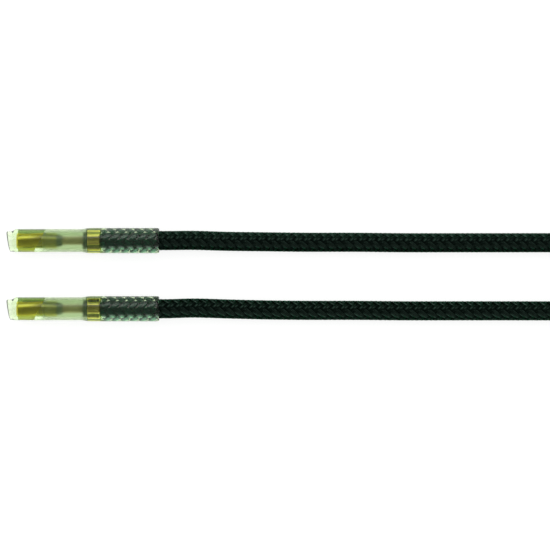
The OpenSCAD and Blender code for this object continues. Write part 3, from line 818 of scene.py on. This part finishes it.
# %% Sleeves
SLEEVE_SIDES = 128
NIPPLE_RADIUS = (highest("nipple_a").z - lowest("nipple_a").z) / 2
SLEEVE_OUT = (highest("tip_sleeve_a").z - lowest("tip_sleeve_a").z) / 2
SLEEVE_SLANT = math.radians(10)
SLEEVE_FRONT_OUT = NIPPLE_RADIUS + 0.6 * MM
MOUTH_OUT = SLEEVE_FRONT_OUT - 0.3 * MM
MOUTH_SHIFT = -0.18 * MM
WASHER_X = lowest("fibre_washer_a").x
CRIMP_RADIUS = (highest("crimp_ferrule_a").z - lowest("crimp_ferrule_a").z) / 2
RELIEF_FROM, RELIEF_TO, RELIEF_STEP = CORD_X + 0.8 * MM, SLEEVE_END_X - 0.15 * MM, 0.15 * MM
RELIEF_XS = [
    RELIEF_FROM + k * RELIEF_STEP for k in range(int((RELIEF_TO - RELIEF_FROM) / RELIEF_STEP) + 1)
]
SLEEVE_OUTER = [
    (MOUTH_X, MOUTH_OUT - 0.20 * MM, MOUTH_SHIFT),
    (MOUTH_X + 0.10 * MM, MOUTH_OUT - 0.06 * MM, MOUTH_SHIFT),
    (MOUTH_X + 0.28 * MM, MOUTH_OUT, MOUTH_SHIFT),
    *((MOUTH_X + x * MM, MOUTH_OUT + share * (SLEEVE_FRONT_OUT - MOUTH_OUT), (1 - share) * MOUTH_SHIFT)
      for x, share in ((1.0, 0), (1.15, 0.04), (1.3, 0.16), (1.45, 0.35), (1.6, 0.56), (1.75, 0.75),
                       (1.9, 0.89), (2.05, 0.97), (2.2, 1))),
    (WASHER_X - 0.4 * MM, SLEEVE_FRONT_OUT, 0),
    (WASHER_X + 0.1 * MM, SLEEVE_FRONT_OUT + 0.09 * MM, 0),
    (WASHER_X + 0.9 * MM, SLEEVE_OUT - 0.03 * MM, 0),
    (WASHER_X + 1.6 * MM, SLEEVE_OUT, 0),
    (CORD_X, SLEEVE_OUT, 0),
    *((x, SLEEVE_OUT - 0.03 * MM, 0, 0.06 * MM) for x in RELIEF_XS),
    (SLEEVE_END_X, SLEEVE_OUT - 0.15 * MM, 0),
]
SLEEVE_INNER = [
    (SLEEVE_END_X, CORD_RADIUS + 0.03 * MM, 0),
    *((x, CORD_RADIUS + 0.01 * MM, -0.018 * MM, 0.05 * MM) for x in reversed(RELIEF_XS)),
    (CORD_X + 0.5 * MM, CORD_RADIUS - 0.06 * MM, 0),
    (CORD_X + 0.1 * MM, CORD_RADIUS - 0.16 * MM, 0),
    (CORD_X - 0.1 * MM, CRIMP_RADIUS - 0.27 * MM, 0),
    (WASHER_X + 0.9 * MM, CRIMP_RADIUS - 0.27 * MM, 0),
    (WASHER_X + 0.5 * MM, CRIMP_RADIUS, 0.04 * MM),
    (WASHER_X - 0.6 * MM, NIPPLE_RADIUS + 0.12 * MM, 0.04 * MM),
    (WASHER_X - 2.4 * MM, NIPPLE_RADIUS + 0.10 * MM, 0),
    (MOUTH_X + 8.7 * MM, NIPPLE_RADIUS + 0.08 * MM, 0),
    (MOUTH_X + 8.3 * MM, NIPPLE_RADIUS - 0.03 * MM, 0),
    (MOUTH_X + 2.1 * MM, NIPPLE_RADIUS - 0.03 * MM, 0),
    (MOUTH_X + 1.3 * MM, MOUTH_OUT - 0.42 * MM, MOUTH_SHIFT),
    (MOUTH_X, MOUTH_OUT - 0.38 * MM, MOUTH_SHIFT),
]


def slanted(point, axis_y):
    """Leans a point of the mouth back, so that the end is cut on a slant."""
    top = axis_y + MOUTH_OUT + MOUTH_SHIFT
    reach = 1.3 * MM
    share = max(0.0, 1.0 - (point.x - MOUTH_X) / reach)
    return point + Vector(((top - point.y) * math.tan(SLEEVE_SLANT) * share, 0, 0))


def weave_height(x, angle):
    """How high the braid stands at a place on the cord: 1 on a crown, less between crowns."""
    turns = (x - CORD_X) / BRAID_SIZES["Lay"]
    strands = BRAID_SIZES["Carriers"] / 2
    heights = []
    for hand in (1, -1):
        place = strands * ((angle - BRAID_SIZES["Turn"]) / math.tau - hand * turns)
        strand = round(place)
        over = hand * math.cos(math.tau * (4 * strands * hand * turns / 2 + 2 * strand - 0.5) / 4)
        heights.append(over - (2 * (place - strand)) ** 2)
    return max(-1.0, max(heights))


def spun(name, outline, axis_y):
    """A closed shell of clear plastic: (x, radius, shift) points turned about a tip's axis.

    A fourth number in a point is the depth of the braid's relief at that ring.
    """
    angles = [math.tau * k / SLEEVE_SIDES for k in range(SLEEVE_SIDES)]
    rings, crests = [], []
    for x, radius, shift, *relief in outline:
        centre = Vector((x, axis_y + shift, TIP_Z))
        ring = ring_round(centre, Vector((1, 0, 0)), radius, SLEEVE_SIDES)
        heights = [weave_height(x, angle) if relief else -1.0 for angle in angles]
        if relief:
            reach = [1 + relief[0] / radius * height for height in heights]
            ring = [centre + (point - centre) * share for point, share in zip(ring, reach)]
        rings.append(ring)
        crests += heights
    mesh = ring_surface(name, rings, CLEAR_PLASTIC, closed=True)
    mesh.attributes.new(CREST, "FLOAT", "POINT").data.foreach_set("value", crests)
    return add_object(name, mesh)


def mark_strips(mesh, label, strips):
    """Sets a number to 1 on the faces of some strips, and leaves it 0 elsewhere."""
    mark = mesh.attributes.new(label, "FLOAT", "FACE")
    for strip in strips:
        for k in range(SLEEVE_SIDES):
            mark.data[strip * SLEEVE_SIDES + k].value = 1.0


for name, side in SIDES.items():
    axis_y = side * TIP_Y
    sleeve = spun(f"clear_sleeve_{name}", SLEEVE_OUTER + SLEEVE_INNER, axis_y)
    inner_strips = range(len(SLEEVE_OUTER), len(SLEEVE_OUTER) + len(SLEEVE_INNER) - 1)
    mark_strips(sleeve.data, BORE, inner_strips)
    mark_strips(sleeve.data, CUT, (0, 1, inner_strips[-1] + 1))
    for vertex in sleeve.data.vertices:
        vertex.co = slanted(vertex.co, axis_y)
    outward_faces(sleeve.data)
    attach(sleeve, f"sleeve_{name}")
    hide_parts(f"tip_sleeve_{name}")
print("sleeves made")

# %% [markdown]
# ## The metal parts
#
# A CAD part has perfectly sharp edges, and such an edge catches no light. Real edges are broken
# by a tenth of a millimetre or so. Each part is copied from its CAD solid, merged, cleaned of
# needless edges and given small rounded edges.

# %% Dressing a CAD part
SAME_PLACE = 0.0005 * MM
NEARLY_FLAT = math.radians(0.5)
SHARP_FROM = math.radians(30.0)


def dress(node, material, edge, body):
    """Copies a CAD part with rounded edges and a finish, in the part's own place."""
    mesh = frame["nodes"][node].data.copy()
    mesh.name = f"{node}_finished"
    mesh.materials.clear()
    mesh.materials.append(material)
    shape = bmesh.new()
    shape.from_mesh(mesh)
    bmesh.ops.remove_doubles(shape, verts=shape.verts, dist=SAME_PLACE)
    bmesh.ops.dissolve_limit(
        shape, angle_limit=NEARLY_FLAT, verts=shape.verts, edges=shape.edges, delimit={"NORMAL"}
    )
    for face in shape.faces:
        face.smooth = True
        face.material_index = 0
    shape.to_mesh(mesh)
    shape.free()
    piece = add_object(mesh.name, mesh)
    bevel = piece.modifiers.new("broken edges", "BEVEL")
    bevel.width = edge
    bevel.segments = 2
    bevel.limit_method = "ANGLE"
    bevel.angle_limit = SHARP_FROM
    bevel.harden_normals = False
    mesh = baked(piece)
    piece.modifiers.clear()
    piece.data = mesh
    outward_faces(piece.data)
    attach(piece, body)
    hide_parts(node)


FINISHES = {
    "nipple": (TIP_BRASS, "tip_brass", 0.05),
    "swivel_collar": (OXIDISED, "blackened_steel", 0.03),
    "guide_tube": (BRONZE, "bronze", 0.03),
    "needle": (BRIGHT_STEEL, "bright_steel", 0.03),
    "fibre_washer": (DARK_FIBRE, "dark_fibre", 0.05),
    "outlet_ferrule": (HANDLE_BRASS, "handle_brass", 0.05),
    "push_wire": (BRIGHT_STEEL, "bright_steel", 0.03),
    "lead_adjuster": (HANDLE_BRASS, "handle_brass", 0.04),
    "marker_ring": (RED_ENAMEL, "red_enamel", 0.06),
    "nose_block": (SATIN_CHROME, "satin_chrome", 0.12),
    "nose_grub_screws": (BLACKENED_STEEL, "blackened_steel", 0.04),
    "barrel": (SATIN_CHROME, "satin_chrome", 0.05),
    "finger_plate": (BLACK_ENAMEL, "black_enamel", 0.30),
    "end_cap": (SATIN_CHROME, "satin_chrome", 0.05),
    "buffer_washer": (FELT, "felt", 0.10),
    "plunger_stem": (BRIGHT_STEEL, "bright_steel", 0.08),
    "button": (SATIN_CHROME, "satin_chrome", 0.05),
    "button_inlay": (BLACK_PLASTIC, "black_inlay", 0.10),
    "yoke": (HANDLE_BRASS, "handle_brass", 0.10),
    "yoke_grub_screws": (BLACKENED_STEEL, "blackened_steel", 0.04),
    "spring_washer": (BRIGHT_STEEL, "bright_steel", 0.04),
    "lock_screw": (HANDLE_BRASS, "handle_brass", 0.05),
}


def finish_of(node):
    """A node's finish, by its name with or without the letter of its side."""
    stem = node[:-2] if node[-2:] in ("_a", "_b") and node[:-2] in FINISHES else node
    return FINISHES.get(stem)


BODIES = frame["record"]["behaviour"]["bodies"]
node_bodies = {node: body for body, nodes in BODIES.items() for node in nodes}
for node, body in sorted(node_bodies.items()):
    if finish_of(node):
        material, slot, edge = finish_of(node)
        dress(node, material, edge * MM, body)
print("dressed", sum(1 for node in node_bodies if finish_of(node)), "CAD parts")

# %% [markdown]
# The crimp ferrules were closed with an eight-sided tool. Each keeps eight flats with round
# corners between them. Handling rubs the corners bright, while the middle of a flat stays a
# little tarnished. The flats that face sideways are painted darker still, as shade. How near a
# point is to a corner goes on the mesh as an attribute for the material.

# %% Crimp ferrules
FLATS = 8
FLAT_TURN = math.radians(4.5)
CORNER_SHARPNESS = 44
CORNER = "corner"


def crimped_brass(name, dark, light, shade_colour, roughness):
    """Brass that is bright along the corners, a little tarnished on the flats, and painted darker as shade on the
    flats that face sideways.
    """
    material, graph, shader, place = start_material(name)
    patches = noise(graph, place, PATCH_NOISE, 4.0, 0.6)
    sideways = facing_sideways(graph)
    rubbed = graph.ease(graph.stored(CORNER) + 0.3 * (patches - 0.5), 0.30, 0.80)
    # Painted shade: flats that face sideways, and most of all those facing +Y, darken towards the last colour.
    on_side = graph.ease(graph.math("ABSOLUTE", sideways), 0.30, 0.50)
    far_flank_shade = 0.8 * graph.ease(sideways, 0.80, 0.92)
    tarnish_and_shade = (1.0 - rubbed) * (0.12 + 0.70 * on_side) + far_flank_shade
    colour = blend_colours(graph, tarnish_and_shade, blend_colours(graph, patches, dark, light), shade_colour)
    finish(graph, shader, colour, roughness + 0.1 * (patches - 0.5))
    shader.inputs["Metallic"].default_value = 1.0
    bump(graph, shader, patches, 0.003 * MM)
    return material


FERRULE_BRASS = crimped_brass(
    "ferrule brass", (0.96, 0.74, 0.18), (1.0, 0.84, 0.30), (0.20, 0.22, 0.07), 0.16
)


def mark_corners(mesh, axis_y):
    """Stores how near each point is to a corner: 1 at a corner and 0 in the middle of a flat."""
    nearness = mesh.attributes.new(CORNER, "FLOAT", "POINT")
    for point, entry in zip(mesh.vertices, nearness.data):
        angle = math.atan2(point.co.y - axis_y, point.co.z - TIP_Z)
        entry.value = 0.5 - 0.5 * math.cos(FLATS * (angle - FLAT_TURN))


def eight_sided(angle, corner_radius):
    """The radius of a rounded octagon at an angle, with its corners at a given radius."""
    reaches = [max(0.0, math.cos(angle - FLAT_TURN - math.tau * k / FLATS)) for k in range(FLATS)]
    total = sum(reach ** CORNER_SHARPNESS for reach in reaches) ** (1 / CORNER_SHARPNESS)
    corner = (2 * math.cos(math.pi / FLATS) ** CORNER_SHARPNESS) ** (1 / CORNER_SHARPNESS)
    return corner_radius * corner / total


def crimped_ring(x, axis_y, corner_radius, sides=96):
    """A ring of a crimped ferrule, round the tip's axis."""
    ring = []
    for k in range(sides):
        angle = math.tau * k / sides
        radius = eight_sided(angle, corner_radius)
        ring.append(Vector((x, axis_y + radius * math.sin(angle), TIP_Z + radius * math.cos(angle))))
    return ring


CRIMP_START, CRIMP_END = lowest("crimp_ferrule_a").x, highest("crimp_ferrule_a").x
CRIMP_OUTLINE = [
    (CRIMP_START, -0.12), (CRIMP_START + 0.04 * MM, -0.04), (CRIMP_START + 0.14 * MM, 0.0),
    (CRIMP_START + 0.45 * MM, 0.0), (CRIMP_START + 0.80 * MM, -0.05), (CRIMP_END - 0.80 * MM, -0.05),
    (CRIMP_END - 0.45 * MM, 0.0), (CRIMP_END - 0.14 * MM, 0.0), (CRIMP_END - 0.04 * MM, -0.04),
    (CRIMP_END, -0.12),
]
for name, side in SIDES.items():
    rings = [crimped_ring(x, side * TIP_Y, CRIMP_RADIUS + inset * MM) for x, inset in CRIMP_OUTLINE]
    label = f"crimped_ferrule_{name}"
    ferrule = add_object(label, ring_surface(label, rings, FERRULE_BRASS))
    outward_faces(ferrule.data, 40.0)
    mark_corners(ferrule.data, side * TIP_Y)
    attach(ferrule, "root")
    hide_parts(f"crimp_ferrule_{name}")
print("crimp ferrules made")

# %% [markdown]
# ## The return spring
#
# A spring is a round wire swept along a helix. Geometry Nodes has a Spiral curve for that, so
# a few named numbers make the whole coil. The end coils of a compression spring lie closer
# together, so the height along the helix is eased a little at both ends.

# %% The helix's tree
SPRING_LOW, SPRING_HIGH = lowest("return_spring"), highest("return_spring")
WIRE_RADIUS = 0.35 * MM
SPRING_SIZES = {
    "Turns": 6.0,
    "Radius": (SPRING_HIGH.y - SPRING_LOW.y) / 2 - WIRE_RADIUS,
    "Length": SPRING_HIGH.x - SPRING_LOW.x - 2 * WIRE_RADIUS,
    "Section radius": WIRE_RADIUS,
    "Section sides": 12,
    "Points per turn": 40,
    "Closed ends": 0.5,
}


def helix_tree():
    """A wire swept along a helix about X, from x = 0 to its length."""
    tree, graph, sizes = start_tree("coil spring", SPRING_SIZES)
    spiral = graph.add(
        "GeometryNodeCurveSpiral",
        {
            "Resolution": sizes["Points per turn"],
            "Rotations": sizes["Turns"],
            "Start Radius": sizes["Radius"],
            "End Radius": sizes["Radius"],
            "Height": 1.0,
        },
    )
    across, up, share = graph.parts(graph.add("GeometryNodeInputPosition"))
    eased = share + sizes["Closed ends"] * (graph.ease(share, 0.0, 1.0) - share)
    spot = graph.add("ShaderNodeCombineXYZ", {"X": eased * sizes["Length"], "Y": across, "Z": up})
    path = graph.add("GeometryNodeSetPosition", {"Geometry": spiral, "Position": spot})
    circle = {"Resolution": sizes["Section sides"], "Radius": sizes["Section radius"]}
    section = graph.add("GeometryNodeCurvePrimitiveCircle", circle)
    wire = graph.add("GeometryNodeCurveToMesh", {"Curve": path, "Profile Curve": section, "Fill Caps": True})
    wire = graph.add("GeometryNodeSetShadeSmooth", {"Geometry": wire})
    wire = graph.add("GeometryNodeRealizeInstances", {"Geometry": wire})
    finish_tree(graph, graph.add("GeometryNodeSetMaterial", {"Geometry": wire, "Material": SPRING_STEEL}))
    return tree


HELIX_TREE = helix_tree()
print("helix tree has", len(HELIX_TREE.nodes), "nodes")

# %% [markdown]
# The return spring stands between the nose's spigot, which stays, and the plunger's yoke,
# which moves. When the plunger is pressed, the real spring shortens towards the spigot; this coil is made at its
# free length only.

# %% Return spring
PRESS = next(joint for joint in frame["joints"] if joint["name"] == "plunger_press")
STROKE = max(abs(limit) for limit in PRESS["range_m"])
base = add_object("return_spring_wire", bpy.data.meshes.new("return_spring_wire"))
spring = grown_mesh("return_spring_wire", base, HELIX_TREE, SPRING_SIZES)
bpy.data.objects.remove(base)
spring_start = Vector((SPRING_LOW.x + WIRE_RADIUS, middle("return_spring").y, HANDLE_Z))
for vertex in spring.data.vertices:
    vertex.co += spring_start
outward_faces(spring.data, 50.0)
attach(spring, "root")
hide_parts("return_spring")
free_length = SPRING_HIGH.x - SPRING_LOW.x
(free_length - STROKE) / free_length
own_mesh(spring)
print(f"spring {free_length / MM:.1f} mm long, {(free_length - STROKE) / MM:.1f} mm when pressed")

# %% [markdown]
# ## The table and the light
#
# The release lies on white. A white table that is lit to full white would drown every shadow,
# so the table is a grey that glows a little: a picture shows it as white, and a shadow still
# darkens it.

# %% Table
def only_for(graph, kind):
    """1 for rays of one kind, and 0 for all others."""
    return graph.add("ShaderNodeLightPath", output=f"Is {kind} Ray")


def table_material():
    """White that a picture shows as white, and that still takes a shadow."""
    material, graph, shader, place = start_material("white table")
    grain = noise(graph, place, 60.0, 2.0)
    finish(graph, shader, blend_colours(graph, grain, (0.30, 0.30, 0.30), (0.32, 0.32, 0.32)), 0.9)
    shader.inputs["Specular IOR Level"].default_value = 0.1
    strength = 0.36 + 0.42 * only_for(graph, "Camera")
    strength = strength + 0.30 * only_for(graph, "Glossy") + 0.45 * only_for(graph, "Transmission")
    glow = graph.add("ShaderNodeEmission", {"Color": (1.0, 1.0, 1.0, 1.0), "Strength": strength})
    both = graph.add("ShaderNodeAddShader", {0: Field(graph, shader.outputs[0]), 1: glow})
    graph.feed(graph.tree.nodes["Material Output"].inputs["Surface"], both)
    return material


HALF_TABLE = 1.5
corners = [(x * HALF_TABLE, y * HALF_TABLE, 0) for x, y in ((-1, -1), (1, -1), (1, 1), (-1, 1))]
table_mesh = bpy.data.meshes.new("table")
table_mesh.from_pydata(corners, [], [(0, 1, 2, 3)])
table_mesh.materials.append(table_material())
add_object("table", table_mesh)
print("table made")

# %% [markdown]
# One wide soft lamp stands over the far side, and puts a long highlight above the middle of
# every round part. The room around is darker than the table, so that metal has something to
# mirror. A brighter band on its near side puts a second, faint highlight below the middle.

# %% Lights
LAMP_LEAN = math.radians(36)
LAMP_DISTANCE = 0.9
LAMP_X = -0.66
ROOM_FILL = 0.95
lamp_data = bpy.data.lights.new("wide lamp", "AREA")
lamp_data.shape = "RECTANGLE"
lamp_data.size, lamp_data.size_y = 1.6, 0.46
lamp_data.energy = 3.0
lamp_data.color = (0.98, 1.0, 0.96)
lamp = add_object("wide lamp", lamp_data)
lamp.location = (LAMP_X, LAMP_DISTANCE * math.sin(LAMP_LEAN), LAMP_DISTANCE * math.cos(LAMP_LEAN))
lamp.rotation_euler = (-LAMP_LEAN, 0, 0)
world = bpy.data.worlds.new("studio")
world.use_nodes = True
bpy.context.scene.world = world
sky = Graph(world.node_tree)
_, sideways, height = sky.parts(sky.add("ShaderNodeTexCoord", output="Generated"))
far_side = sky.ease(sideways, -0.2, 0.2)
second_light = sky.ease(height, 0.55, 0.62) - sky.ease(height, 0.70, 0.76)
near_room = 0.17 + 0.28 * (1.0 - sky.ease(height, 0.05, 0.68)) + 0.12 * second_light
far_room = 0.16 + 0.34 * (1.0 - sky.ease(height, 0.20, 0.75))
room = near_room + far_side * (far_room - near_room)
camera_ray = only_for(sky, "Camera")
mirror_ray = sky.math("MAXIMUM", only_for(sky, "Glossy"), only_for(sky, "Transmission"))
strength = camera_ray + (1.0 - camera_ray) * (ROOM_FILL + mirror_ray * (room - ROOM_FILL))
background = world.node_tree.nodes["Background"]
background.inputs["Color"].default_value = (0.98, 1.0, 0.98, 1.0)
sky.feed(background.inputs["Strength"], strength)
bpy.context.scene.view_settings.view_transform = "Standard"
print("lights made")
